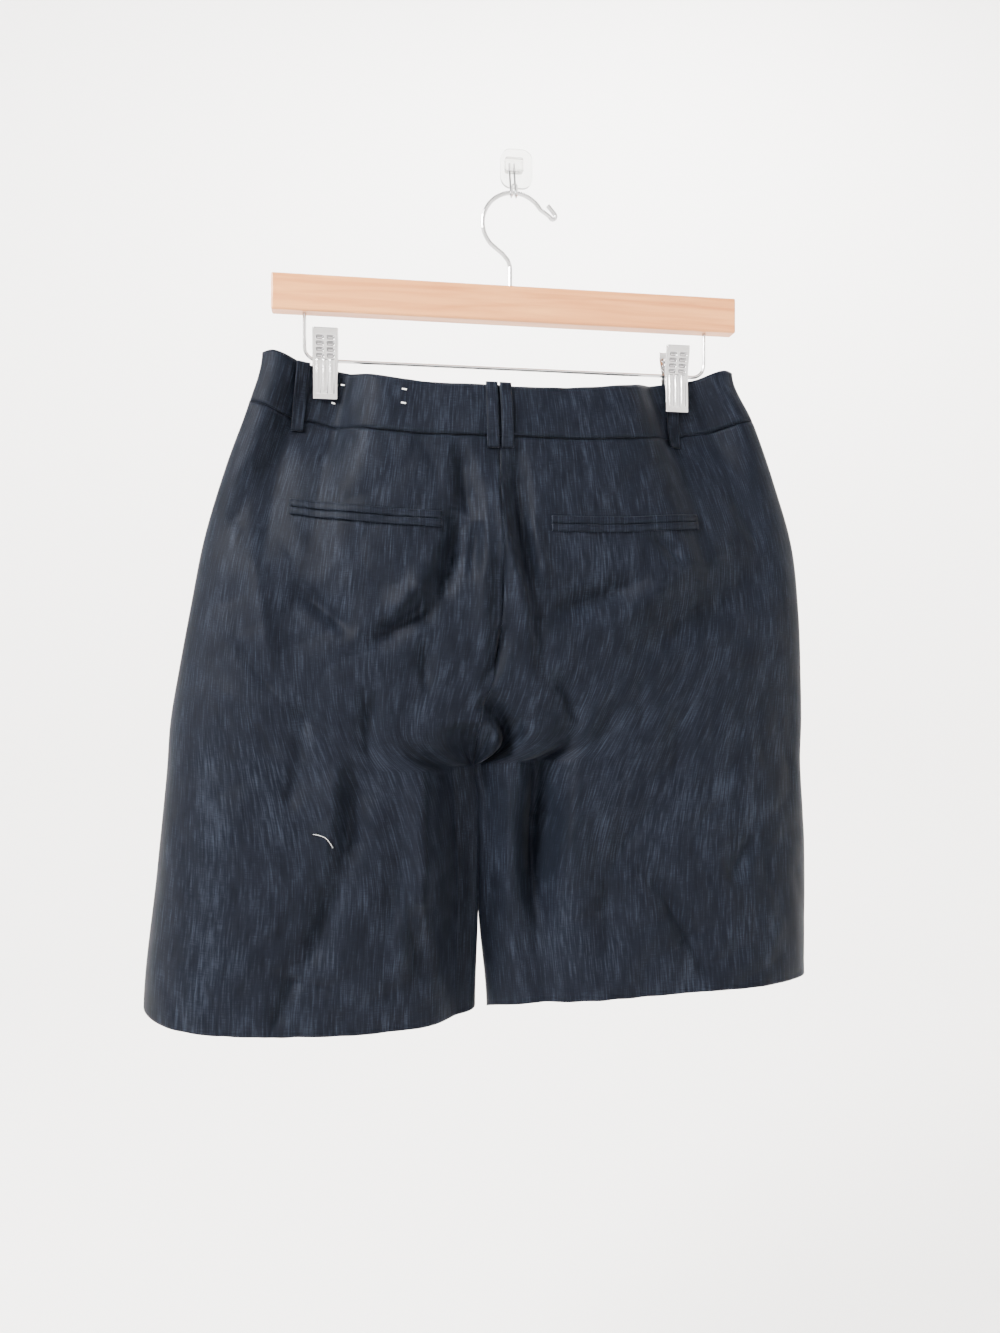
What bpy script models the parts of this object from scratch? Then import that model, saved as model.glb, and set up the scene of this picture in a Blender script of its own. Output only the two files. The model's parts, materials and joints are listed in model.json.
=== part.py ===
"""Bermuda shorts clipped by the waistband to a wooden bar hanger, which hangs on a clear wall hook.

Metres, +Z up, +X to the wearer's right, and the back of the shorts faces -Y. The origin is the
underside of the hanger hook's crest, where the wall hook carries it.

The garment is four leg panels, a waistband and what is sewn on them. Each is a wall of cloth on one
form, which body_point and leg_point work out from the tables of levels below. A place on a panel is
u, from the side seam (0) to the centre seam or inseam (1), and v, from the waist seam to the hem.
"""

import math

import bmesh
import bpy
from mathutils import Matrix, Vector
from mathutils.bvhtree import BVHTree

# ---------------------------------------------------------------- driving sizes

CLOTH = 0.0012  # wall of a leg panel
BAND_CLOTH = 0.0017  # the waistband is double, with interfacing
SEAM_GAP = 0.0004  # between pieces sewn edge to edge
LAYER_GAP = 0.0004  # between pieces that lie on each other
HEM_CLOTH = 0.0010
SIDE_SEAM_Y = -0.003

# The body of the shorts, from the waist down: x of the side seams and of the centre back seam,
# and how far the middle of the back and of the front stand off the side seams.
BODY = (
    # level, left, right, centre, back, front
    (-0.134, -0.1935, 0.1790, -0.0170, 0.021, 0.010),
    (-0.174, -0.2035, 0.1965, -0.0170, 0.028, 0.012),
    (-0.220, -0.2195, 0.2130, -0.0172, 0.038, 0.014),
    (-0.275, -0.2355, 0.2290, -0.0168, 0.046, 0.015),
    (-0.330, -0.2460, 0.2348, -0.0175, 0.051, 0.015),
    (-0.378, -0.2545, 0.2362, -0.0240, 0.053, 0.015),
    (-0.413, -0.2600, 0.2365, -0.0335, 0.054, 0.014),
    (-0.450, -0.2625, 0.2350, -0.0350, 0.055, 0.014),
    (-0.520, -0.2690, 0.2375, -0.0350, 0.056, 0.014),
    (-0.630, -0.2790, 0.2370, -0.0350, 0.056, 0.014),
)
# The legs, from the crotch down: x of each inner edge, how deep the section is behind and before
# the seams, and how far forward of the side seam the inseam hangs.
LEGS = (
    # level, left leg's inner edge, right leg's, back, front, inseam
    (-0.400, -0.0350, -0.0350, 0.050, 0.014, 0.018),
    (-0.446, -0.0350, -0.0345, 0.052, 0.014, 0.018),
    (-0.470, -0.0328, -0.0300, 0.054, 0.014, 0.017),
    (-0.510, -0.0310, -0.0272, 0.055, 0.014, 0.016),
    (-0.560, -0.0300, -0.0250, 0.056, 0.014, 0.015),
    (-0.635, -0.0330, -0.0245, 0.057, 0.014, 0.015),
)
# Heights of the waistband's edges, by the share of the way from the centre seam to the side seam.
WAIST = (
    # share, top behind, seam behind, top before, seam before
    (0.00, -0.1588, -0.1987, -0.1530, -0.1925),
    (0.30, -0.1577, -0.1985, -0.1520, -0.1918),
    (0.50, -0.1532, -0.1955, -0.1492, -0.1892),
    (0.62, -0.1482, -0.1905, -0.1465, -0.1868),
    (0.72, -0.1443, -0.1858, -0.1440, -0.1845),
    (0.84, -0.1405, -0.1815, -0.1405, -0.1812),
    (0.95, -0.1338, -0.1748, -0.1338, -0.1748),
    (1.00, -0.1345, -0.1728, -0.1345, -0.1728),
)
# Heights of the hem at the side seam, in the middle of the panel and at the inseam.
HEMS = {
    ("back", "left"): (-0.6205, -0.6335, -0.6300),
    ("back", "right"): (-0.6195, -0.6165, -0.6320),
    ("front", "left"): (-0.6205, -0.6250, -0.6300),
    ("front", "right"): (-0.6195, -0.6190, -0.6320),
}
CROTCH_V = 0.575  # share of the way down a panel at which the centre seam ends
DIVE_V = 0.505  # where the centre seam starts to turn under
BACK_FULLNESS = 2.6  # exponents of the sections: higher is boxier
FRONT_FULLNESS = 3.4
LEG_FULLNESS = 3.0

# Where the clips pinch the waist: the flat they press, and how the pinch opens below it.
CLIP_X = {"left": -0.1465, "right": 0.1315}
CLIP_WIDTH = 0.0195
PINCH_HALF = 0.0023  # half of the pinched waistband, both layers
PINCH = (
    # level, strength, half of the thickness there
    (-0.134, 1.00, 0.0023),
    (-0.190, 1.00, 0.0026),
    (-0.220, 0.62, 0.0060),
    (-0.265, 0.32, 0.0100),
    (-0.330, 0.12, 0.0140),
    (-0.400, 0.00, 0.0140),
)
PINCH_FLAT = 0.075  # half of the flat, as a share of the half width
PINCH_EASE = 0.085  # how quickly the cloth swings out beside the flat

# The largest folds: from and to (x, z), how far the line bows sideways, its half width on either
# hand, and how far the cloth sinks (+) or stands out (-) along it.
BACK_FOLDS = (
    # x0, z0, x1, z1, bow, left half, right half, depth
    (-0.036, -0.395, 0.014, -0.480, 0.010, 0.008, 0.010, 0.015),  # deep pleat beside the crotch
    (0.002, -0.430, 0.015, -0.640, -0.006, 0.010, 0.015, 0.020),  # and on down the right leg
    (-0.046, -0.415, -0.052, -0.700, -0.008, 0.016, 0.016, 0.020),  # the left leg's inner thigh
    (-0.070, -0.440, -0.092, -0.585, -0.004, 0.020, 0.010, -0.007),  # and the ridge beside it
    (-0.046, -0.215, -0.066, -0.345, 0.016, 0.009, 0.012, 0.007),  # drag beside the centre, left
    (0.000, -0.225, 0.026, -0.395, -0.008, 0.010, 0.012, 0.006),  # and right
    (-0.175, -0.220, -0.222, -0.345, 0.004, 0.022, 0.018, 0.008),  # from the left clip to the hip
    (-0.120, -0.330, -0.078, -0.352, -0.006, 0.012, 0.012, 0.006),  # under the left pocket
    (-0.112, -0.420, -0.165, -0.590, 0.006, 0.016, 0.020, 0.006),  # long leg folds
    (-0.085, -0.450, -0.108, -0.600, -0.004, 0.012, 0.014, 0.006),
    (0.080, -0.375, 0.200, -0.315, 0.010, 0.026, 0.026, 0.006),  # broad hip fold, right
    (0.095, -0.470, 0.150, -0.610, 0.006, 0.016, 0.020, 0.004),
)
FRONT_FOLDS = (
    (-0.060, -0.240, -0.130, -0.420, 0.010, 0.022, 0.022, 0.005),
    (0.045, -0.250, 0.110, -0.430, -0.012, 0.024, 0.024, 0.005),
    (-0.140, -0.470, -0.150, -0.610, 0.005, 0.026, 0.026, 0.005),
    (0.120, -0.480, 0.130, -0.610, -0.005, 0.024, 0.024, 0.005),
)


# ---------------------------------------------------------------- the form of the garment


def lookup(table, column, level):
    """The column's value at a level, eased through the table's rows."""
    rows = sorted(table)
    if level <= rows[0][0]:
        return rows[0][column]
    if level >= rows[-1][0]:
        return rows[-1][column]
    high = next(i for i, row in enumerate(rows) if row[0] > level)
    before, after = rows[high - 1], rows[high]
    span = after[0] - before[0]

    def slope(index):
        if index in (0, len(rows) - 1):
            return 0.0
        rise = rows[index + 1][column] - rows[index - 1][column]
        return rise / (rows[index + 1][0] - rows[index - 1][0])

    share = (level - before[0]) / span
    hermite = (
        (1 + 2 * share) * (1 - share) ** 2 * before[column]
        + share * (1 - share) ** 2 * span * slope(high - 1)
        + share**2 * (3 - 2 * share) * after[column]
        + share**2 * (share - 1) * span * slope(high)
    )
    return hermite


def fold_line(fold, steps=12):
    """Points along a fold, a shallow arc bowed to one side, each with its share of the way."""
    x0, z0, x1, z1, bow = fold[:5]
    length = math.hypot(x1 - x0, z1 - z0)
    across = (-(z1 - z0) / length, (x1 - x0) / length)
    line = []
    for i in range(steps + 1):
        share = i / steps
        swing = 4 * bow * share * (1 - share)
        x = x0 + (x1 - x0) * share + across[0] * swing
        line.append((x, z0 + (z1 - z0) * share + across[1] * swing, share))
    return line


FOLD_LINES = {fold: fold_line(fold) for fold in BACK_FOLDS + FRONT_FOLDS}


def folded(x, z, folds):
    """How far the folds push the cloth in (+) at a place on the back or the front."""
    total = 0.0
    for fold in folds:
        near, near_x, along = min(
            (math.hypot(x - px, z - pz), px, share) for px, pz, share in FOLD_LINES[fold]
        )
        width = fold[5] if x < near_x else fold[6]
        taper = min(1.0, 4 * along + 0.05, 4 * (1 - along) + 0.05)
        total += fold[7] * taper * math.exp(-((near / width) ** 2))
    return total


def swell(share, fullness):
    """Height of a section at a share of its half width: 1 in the middle, round to 0 at the ends."""
    return math.sqrt(max(0.0, 1 - abs(share) ** fullness))


def pinch_at(side, share, level):
    """How strongly the clip's pinch holds the cloth at this place."""
    clip = CLIP_X[side]
    waist_side = lookup(BODY, 1 if side == "left" else 2, -0.150)
    waist_centre = lookup(BODY, 3, -0.150)
    clip_share = (clip - waist_centre) / (waist_side - waist_centre)
    off = max(0.0, abs(abs(share) - clip_share) - PINCH_FLAT)
    return lookup(PINCH, 1, level) * math.exp(-((off / PINCH_EASE) ** 2))


def body_y(face, side, share, x, level, folds=True):
    """Y of the outer surface of the body, at a share of the way from the centre to the side seam."""
    behind = face == "back"
    depth = lookup(BODY, 4 if behind else 5, level)
    reach = depth * swell(share, BACK_FULLNESS if behind else FRONT_FULLNESS)
    held = pinch_at(side, share, level)
    reach = reach * (1 - held) + min(reach, lookup(PINCH, 2, level)) * held
    if folds:
        sunk = folded(x, level, BACK_FOLDS if behind else FRONT_FOLDS)
        reach -= sunk * swell(share, BACK_FULLNESS) * (1 - held)
    middle = SIDE_SEAM_Y * (1 - held)
    return middle - reach if behind else middle + reach


def body_point(face, side, share, level):
    """A point of the body's surface. share runs from 0 at the centre seam to 1 at the side seam."""
    centre = lookup(BODY, 3, level)
    edge = lookup(BODY, 1 if side == "left" else 2, level)
    x = centre + (edge - centre) * share
    return Vector((x, body_y(face, side, share, x, level), level))


def leg_point(face, side, share, level):
    """A point of a leg's surface. share runs from -1 at the side seam to 1 at the inseam."""
    outer = lookup(BODY, 1 if side == "left" else 2, level)
    inner = lookup(LEGS, 1 if side == "left" else 2, level)
    x = (outer + inner) / 2 + (inner - outer) / 2 * share
    behind = face == "back"
    depth = lookup(LEGS, 3 if behind else 4, level)
    inseam = lookup(LEGS, 5, level) * max(0.0, share) ** 2
    reach = (depth - inseam if behind else depth) * swell(share, LEG_FULLNESS)
    sunk = folded(x, level, BACK_FOLDS if behind else FRONT_FOLDS)
    reach -= sunk * swell(share, LEG_FULLNESS)
    middle = SIDE_SEAM_Y - inseam
    return Vector((x, middle - reach if behind else middle + reach, level))


def hem_level(face, side, u):
    """Height of the hem, u of the way from the side seam to the inseam."""
    outer, middle, inner = HEMS[face, side]
    return outer * (1 - u) * (1 - 2 * u) + middle * 4 * u * (1 - u) + inner * u * (2 * u - 1)


def panel_point(face, side, u, v):
    """A point of a panel's outer surface."""
    body_share = math.cos(math.pi / 2 * u)
    leg_share = math.sin(math.pi / 2 * (2 * u - 1))
    top = lookup(WAIST, 2 if face == "back" else 4, body_share) - SEAM_GAP
    level = top + (hem_level(face, side, u) - top) * v
    dive = min(1.0, max(0.0, (v - DIVE_V) / (CROTCH_V - DIVE_V))) ** 2.2
    point = leg_point(face, side, leg_share, level) * dive
    if dive < 1:
        point += body_point(face, side, body_share, level) * (1 - dive)
    shift = SEAM_GAP / 2
    point.x += -shift if side == "left" else shift
    point.y += -shift if face == "back" else shift
    return point


def band_point(face, side, share, down, proud=0.0005):
    """A point of the waistband's outer surface, down from 0 at its top edge to 1 at its seam."""
    top = lookup(WAIST, 1 if face == "back" else 3, share)
    seam = lookup(WAIST, 2 if face == "back" else 4, share) + SEAM_GAP / 2
    level = top + (seam - top) * down
    point = body_point(face, side, share, level)
    held = pinch_at(side, share, level)
    outward = -1 if face == "back" else 1
    point.y += outward * proud * (1 - share**6) * (1 - held)
    point.y += outward * SEAM_GAP / 2
    return point


# ---------------------------------------------------------------- making objects


def clear_scene():
    for thing in list(bpy.data.objects):
        bpy.data.objects.remove(thing, do_unlink=True)


def material(name, colour, roughness, metallic=0.0, alpha=1.0):
    made = bpy.data.materials.new(name)
    made.use_nodes = True
    shader = made.node_tree.nodes["Principled BSDF"]
    shader.inputs["Base Color"].default_value = (*colour, 1.0)
    shader.inputs["Roughness"].default_value = roughness
    shader.inputs["Metallic"].default_value = metallic
    shader.inputs["Alpha"].default_value = alpha
    return made


def finish(name, mesh_maker, stuff, smooth=True):
    """An object from a bmesh, with its normals outwards and its sharp edges kept."""
    mesh = bpy.data.meshes.new(name)
    mesh_maker.to_mesh(mesh)
    mesh_maker.free()
    thing = bpy.data.objects.new(name, mesh)
    thing.data.materials.append(stuff)
    bpy.context.scene.collection.objects.link(thing)
    if smooth:
        mesh.shade_smooth()
        mesh.set_sharp_from_angle(angle=math.radians(40))
    return thing


def grid_of(place, columns, rows):
    """Rows of points, where place(u, v) puts each."""
    return [[place(i / columns, j / rows) for i in range(columns + 1)] for j in range(rows + 1)]


def insets_of(grid, inward):
    """Unit directions square to a grid of points, to the side that inward looks to."""
    last_row, last = len(grid) - 1, len(grid[0]) - 1
    insets = []
    for j, row in enumerate(grid):
        line = []
        for i in range(last + 1):
            across = row[min(i + 1, last)] - row[max(i - 1, 0)]
            along = grid[min(j + 1, last_row)][i] - grid[max(j - 1, 0)][i]
            line.append(across.cross(along).normalized())
        insets.append(line)
    total = sum((inset for line in insets for inset in line), Vector())
    turn = 1 if total.dot(Vector(inward)) > 0 else -1
    return [[turn * inset for inset in line] for line in insets]


def keep_off(inset, axis, towards):
    """The inset without what would carry it over the seam, which lies towards that way on the axis."""
    kept = inset.copy()
    if kept[axis] * towards > 0:
        kept[axis] = 0.0
    return kept.normalized()


def moved(grid, insets, distance):
    return [[p + n * distance for p, n in zip(row, line)] for row, line in zip(grid, insets)]


def split(a, b, c, d):
    """A quad as two triangles, cut along its shorter diagonal. Each corner is (place, key)."""
    if (a[0] - c[0]).length <= (b[0] - d[0]).length:
        return ((a, b, c), (a, c, d))
    return ((a, b, d), (b, c, d))


def cells(grid, ring):
    """Corners of every quad of a grid: pairs of (row, column)."""
    wide = len(grid[0])
    for j in range(len(grid) - 1):
        for i in range(wide if ring else wide - 1):
            k = (i + 1) % wide
            yield (j, i), (j, k), (j + 1, k), (j + 1, i)


def cloth(name, outer, insets, thickness, stuff, ring=False):
    """A closed wall between a grid of points and the same grid moved in by its thickness."""
    inner = moved(outer, insets, thickness)
    shell = bmesh.new()
    skins = [[[shell.verts.new(p) for p in row] for row in grid] for grid in (outer, inner)]
    for cell in cells(outer, ring):
        corners = [(outer[j][i], (j, i)) for j, i in cell]
        for triangle in split(*corners):
            shell.faces.new([skins[0][j][i] for _, (j, i) in triangle])
            shell.faces.new([skins[1][j][i] for _, (j, i) in reversed(triangle)])
    rims = [[(j, i) for i in range(len(outer[0]))] for j in (0, len(outer) - 1)]
    if ring:
        rims = [rim + rim[:1] for rim in rims]
    else:
        rims += [[(j, i) for j in range(len(outer))] for i in (0, len(outer[0]) - 1)]
    for rim in rims:
        for (j, i), (m, k) in zip(rim, rim[1:]):
            shell.faces.new((skins[0][j][i], skins[0][m][k], skins[1][m][k], skins[1][j][i]))
    bmesh.ops.recalc_face_normals(shell, faces=shell.faces)
    return finish(name, shell, stuff)


def skin_tree(*grids):
    """The triangles of some grids, to lay other pieces on."""
    points, triangles = [], []
    for grid in grids:
        start = len(points)
        points += [p for row in grid for p in row]
        wide = len(grid[0])
        for cell in cells(grid, False):
            corners = [(grid[j][i], start + j * wide + i) for j, i in cell]
            triangles += [tuple(key for _, key in t) for t in split(*corners)]
    return BVHTree.FromPolygons(points, triangles)


def lie_on(skin, x, level, outward, reach=0.004):
    """Y of the skin at a place, or of whatever stands highest within reach of it."""
    found = []
    for dx in (-reach, 0.0, reach):
        for dz in (-reach, 0.0, reach):
            hit = skin.ray_cast(Vector((x + dx, outward, level + dz)), Vector((0, -outward, 0)))[0]
            if hit:
                found.append(hit.y)
    return max(found) if outward > 0 else min(found)


def wire(name, points, diameter, stuff, sides=3, cyclic=False):
    """Round wire along the points, with closed ends."""
    curve = bpy.data.curves.new(name, "CURVE")
    curve.dimensions = "3D"
    curve.bevel_depth = diameter / 2
    curve.bevel_resolution = sides
    curve.use_fill_caps = not cyclic
    line = curve.splines.new("POLY")
    line.points.add(len(points) - 1)
    for slot, point in zip(line.points, points):
        slot.co = (*point, 1.0)
    line.use_cyclic_u = cyclic
    thing = bpy.data.objects.new(name, curve)
    thing.data.materials.append(stuff)
    bpy.context.scene.collection.objects.link(thing)
    return thing


def box(name, low, high, stuff, rounding=0.0, segments=2):
    """A block between two corners, its edges rounded."""
    block = bmesh.new()
    bmesh.ops.create_cube(block, size=1.0)
    size = Vector(high) - Vector(low)
    bmesh.ops.scale(block, vec=size, verts=block.verts)
    bmesh.ops.translate(block, vec=(Vector(high) + Vector(low)) / 2, verts=block.verts)
    if rounding:
        bmesh.ops.bevel(
            block,
            geom=block.edges[:] + block.verts[:],
            offset=rounding,
            segments=segments,
            profile=0.5,
            affect="EDGES",
            material=-1,
        )
    return finish(name, block, stuff)


def arc(centre, radius, start, end, steps, y=0.0):
    """Points of an arc in the XZ plane, angles in degrees from +X."""
    turn = [math.radians(start + (end - start) * i / steps) for i in range(steps + 1)]
    return [(centre[0] + radius * math.cos(a), y, centre[1] + radius * math.sin(a)) for a in turn]


# ---------------------------------------------------------------- the shorts

COLUMNS = {"back": 15, "front": 12}
ROWS = 26
HEM_ROWS = 2  # the last rows of a panel, as deep as its turned hem
HEM_SHARE = 0.084


def row_share(row):
    """How far down a panel a row lies: closer together at the crotch, and even over the hem."""
    above = ROWS - HEM_ROWS
    if row >= above:
        return 1 - HEM_SHARE * (ROWS - row) / HEM_ROWS
    share = row / above
    eased = share + 0.035 * math.sin(2 * math.pi * share)
    return (1 - HEM_SHARE) * eased


def leg_panels(denim):
    """The four leg panels. Returns the points and inward directions of each, for what they carry."""
    panels = {}
    for face, inward in (("back", 1), ("front", -1)):
        for side, centre_way in (("left", 1), ("right", -1)):

            def place(u, v, face=face, side=side):
                return panel_point(face, side, u, row_share(round(v * ROWS)))

            grid = grid_of(place, COLUMNS[face], ROWS)
            insets = insets_of(grid, (0, inward, 0))
            for j, line in enumerate(insets):
                line[0] = keep_off(line[0], 1, inward)
                share = row_share(j)
                if share < CROTCH_V + 0.02:
                    line[-1] = keep_off(line[-1], 0, centre_way)
                if share > CROTCH_V - 0.02:
                    line[-1] = keep_off(line[-1], 1, inward)
            cloth(f"{face}_{side}", grid, insets, CLOTH, denim)
            panels[face, side] = (grid, insets)
    return panels


def hem(side, panels, denim):
    """The turned-up hem, a ring inside the leg, made from the panels' last rows."""
    (back, back_insets), (front, front_insets) = panels["back", side], panels["front", side]
    rows, insets = [], []
    for j in range(ROWS - HEM_ROWS, ROWS + 1):
        side_seam = (back[j][0] + front[j][0]) / 2
        inseam = (back[j][-1] + front[j][-1]) / 2
        rows.append([side_seam] + back[j][1:-1] + [inseam] + front[j][-2:0:-1])
        at_side = (back_insets[j][0] + front_insets[j][0]).normalized()
        at_inseam = (back_insets[j][-1] + front_insets[j][-1]).normalized()
        insets.append([at_side] + back_insets[j][1:-1] + [at_inseam] + front_insets[j][-2:0:-1])
    rows = moved(rows, insets, CLOTH + LAYER_GAP)
    cloth(f"hem_{side}", rows, insets, HEM_CLOTH, denim, ring=True)


def waistband(denim):
    """The back band runs from side seam to side seam; the front is two halves that meet at the fly."""

    def behind(u, v):
        turn = math.pi * (u - 0.5)
        return band_point("back", "left" if turn < 0 else "right", abs(math.sin(turn)), 1 - v)

    grid = grid_of(behind, 40, 2)
    insets = insets_of(grid, (0, 1, 0))
    for line in insets:
        line[0] = keep_off(line[0], 1, 1)
        line[-1] = keep_off(line[-1], 1, 1)
    cloth("waistband_back", grid, insets, BAND_CLOTH, denim)
    skins = {"back": grid}
    for side, away in (("left", -1), ("right", 1)):

        def before(u, v, side=side, away=away):
            point = band_point("front", side, math.sin(math.pi / 2 * u), 1 - v)
            point.x += away * SEAM_GAP / 2
            return point

        grid = grid_of(before, 20, 2)
        insets = insets_of(grid, (0, -1, 0))
        for line in insets:
            line[0] = keep_off(line[0], 0, -away)
            line[-1] = keep_off(line[-1], 1, -1)
        cloth(f"waistband_front_{side}", grid, insets, BAND_CLOTH, denim)
        skins["front", side] = grid
    return skins


# What closes the front. The wearer's right laps over the left, so all of it lies to the right.
LAP = (-0.004, 0.034)  # ends of the left band's extension, from the centre front
ZIP_TAPE = (-0.006, 0.018)
SHIELD = (-0.014, 0.028)
ZIP_LENGTH = 0.135
SHIELD_LENGTH = 0.150
ZIP_CLOTH = 0.0008
TEETH_ROOM = 0.0034
BUTTON_X = 0.017
BUTTON_RADIUS = 0.0075
BUTTON_THICK = 0.0024


def inside_strip(name, ends, top, bottom, skin, depth, thickness, stuff, rows=7):
    """A flat piece behind the front, depth in from its inner side."""
    centre = lookup(BODY, 3, top)

    def place(u, v):
        x = centre + ends[0] + (ends[1] - ends[0]) * u
        level = bottom + (top - bottom) * v
        return Vector((x, lie_on(skin, x, level, -0.02, reach=0.002) - depth, level))

    grid = grid_of(place, 3, rows)
    straight = [[Vector((0, -1, 0)) for _ in row] for row in grid]
    cloth(name, grid, straight, thickness, stuff)
    return grid


def fly(panels, bands, denim, metal, tape, button):
    """The lap under the waistband, the zip, the shield behind it, and the button."""
    band_top = lookup(WAIST, 3, 0.0)
    band_seam = lookup(WAIST, 4, 0.0)
    band_skin = skin_tree(bands["front", "left"], bands["front", "right"])
    front_skin = skin_tree(panels["front", "left"][0], panels["front", "right"][0])
    inside_strip(
        "waistband_lap", LAP, band_top - 0.002, band_seam + 0.002, band_skin,
        BAND_CLOTH + LAYER_GAP + 0.0002, BAND_CLOTH, denim, rows=3,
    )
    top = band_seam - 0.005
    depth = CLOTH + LAYER_GAP + 0.0002
    inside_strip("zip_tape", ZIP_TAPE, top, top - ZIP_LENGTH, front_skin, depth, ZIP_CLOTH, tape)
    depth += ZIP_CLOTH + TEETH_ROOM
    inside_strip("fly_shield", SHIELD, top, top - SHIELD_LENGTH, front_skin, depth, CLOTH, denim)

    centre = lookup(BODY, 3, top)
    x = centre + (ZIP_TAPE[0] + ZIP_TAPE[1]) / 2
    face = lie_on(front_skin, x, top - 0.012, -0.02) - CLOTH - ZIP_CLOTH - 0.0012
    box(
        "zip_slider", (x - 0.0035, face - 0.0018, top - 0.021), (x + 0.0035, face, top - 0.002),
        metal, rounding=0.0006, segments=1,
    )
    middle = (band_top + band_seam) / 2
    x = centre + BUTTON_X
    face = lie_on(band_skin, x, middle, 0.5, reach=BUTTON_RADIUS) + LAYER_GAP
    disc = bmesh.new()
    bmesh.ops.create_cone(
        disc, cap_ends=True, segments=24, radius1=BUTTON_RADIUS, radius2=BUTTON_RADIUS,
        depth=BUTTON_THICK, matrix=Matrix.Rotation(math.pi / 2, 4, "X"),
    )
    rims = [e for e in disc.edges if abs(e.verts[0].co.y - e.verts[1].co.y) < 1e-6]
    bmesh.ops.bevel(
        disc, geom=rims, offset=0.0006, segments=2, profile=0.5, affect="EDGES", material=-1
    )
    bmesh.ops.translate(disc, vec=(x, face + BUTTON_THICK / 2, middle), verts=disc.verts)
    finish("button", disc, button)


# Belt loops: where each stands at its top and bottom, and how far it arches off the band.
LOOP_WIDTH = 0.0090
LOOP_CLOTH = 0.0014
LOOP_BELOW = 0.0095  # how far a loop reaches below the waistband seam
LOOP_ABOVE = 0.0015
LOOPS = (
    # name, face, x at the top, x at the bottom, arch
    ("loop_back_centre_left", "back", -0.0224, -0.0222, 0.0010),
    ("loop_back_centre_right", "back", -0.0118, -0.0110, 0.0010),
    ("loop_back_left", "back", -0.1622, -0.1672, 0.0008),
    ("loop_back_right", "back", 0.1290, 0.1300, 0.0000),
    ("loop_front_left", "front", -0.1150, -0.1150, 0.0010),
    ("loop_front_right", "front", 0.0900, 0.0900, 0.0010),
)


def waist_share(x, level=-0.165):
    """Share of the way from the centre seam to the side seam at this x."""
    centre = lookup(BODY, 3, level)
    return (x - centre) / (lookup(BODY, 1 if x < centre else 2, level) - centre)


def belt_loop(name, face, x_top, x_bottom, arch, skin, denim):
    """A narrow strip sewn down at its two ends, arching off the band between."""
    outward = -1 if face == "back" else 1
    share = waist_share(x_top)
    band_top = lookup(WAIST, 1 if face == "back" else 3, share)
    bottom = lookup(WAIST, 2 if face == "back" else 4, share) - LOOP_BELOW

    def place(u, v):
        level = bottom + (band_top + LOOP_ABOVE - bottom) * v
        x = x_bottom + (x_top - x_bottom) * v + (u - 0.5) * LOOP_WIDTH
        on_cloth = lie_on(skin, x, min(level, band_top - 0.005), outward * 0.5, reach=0.0035)
        off = LAYER_GAP + LOOP_CLOTH + arch * math.sin(math.pi * v)
        return Vector((x, on_cloth + outward * off, level))

    grid = grid_of(place, 2, 8)
    straight = [[Vector((0, -outward, 0)) for _ in row] for row in grid]
    cloth(name, grid, straight, LOOP_CLOTH, denim)


# Back welt pockets: the two ends of the mouth, and the height of each welt.
WELT_HEIGHT = 0.0062
WELT_CLOTH = 0.0010
POCKETS = {
    "left": ((-0.1720, -0.2535), (-0.0615, -0.2640)),
    "right": ((0.0205, -0.2655), (0.1395, -0.2595)),
}
WELT_SAG = 0.0020


def welt_pocket(side, skin, denim):
    """Two welts lip to lip on the back panel, closed."""
    (x0, z0), (x1, z1) = POCKETS[side]
    lip = LAYER_GAP / 2
    for name, low, high in (("upper", lip, WELT_HEIGHT), ("lower", -WELT_HEIGHT, -lip)):

        def place(u, v, low=low, high=high):
            x = x0 + (x1 - x0) * u
            level = z0 + (z1 - z0) * u - WELT_SAG * math.sin(math.pi * u) + low + (high - low) * v
            on_cloth = lie_on(skin, x, level, -0.5, reach=0.005)
            return Vector((x, on_cloth - LAYER_GAP - WELT_CLOTH, level))

        grid = grid_of(place, 12, 1)
        straight = [[Vector((0, 1, 0)) for _ in row] for row in grid]
        cloth(f"pocket_{side}_welt_{name}", grid, straight, WELT_CLOTH, denim)


# ---------------------------------------------------------------- the hanger

HANGER_X = -0.003
BAR_LENGTH = 0.368
BAR_HEIGHT = 0.028
BAR_DEPTH = 0.013
BAR_TOP = -0.0737
HOOK_WIRE = 0.0034
HOOK_RADIUS = 0.0248
FRAME_WIRE = 0.0027
FRAME_HALF = 0.1593
FRAME_LEVEL = -0.1375
FRAME_BEND = 0.010


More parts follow.
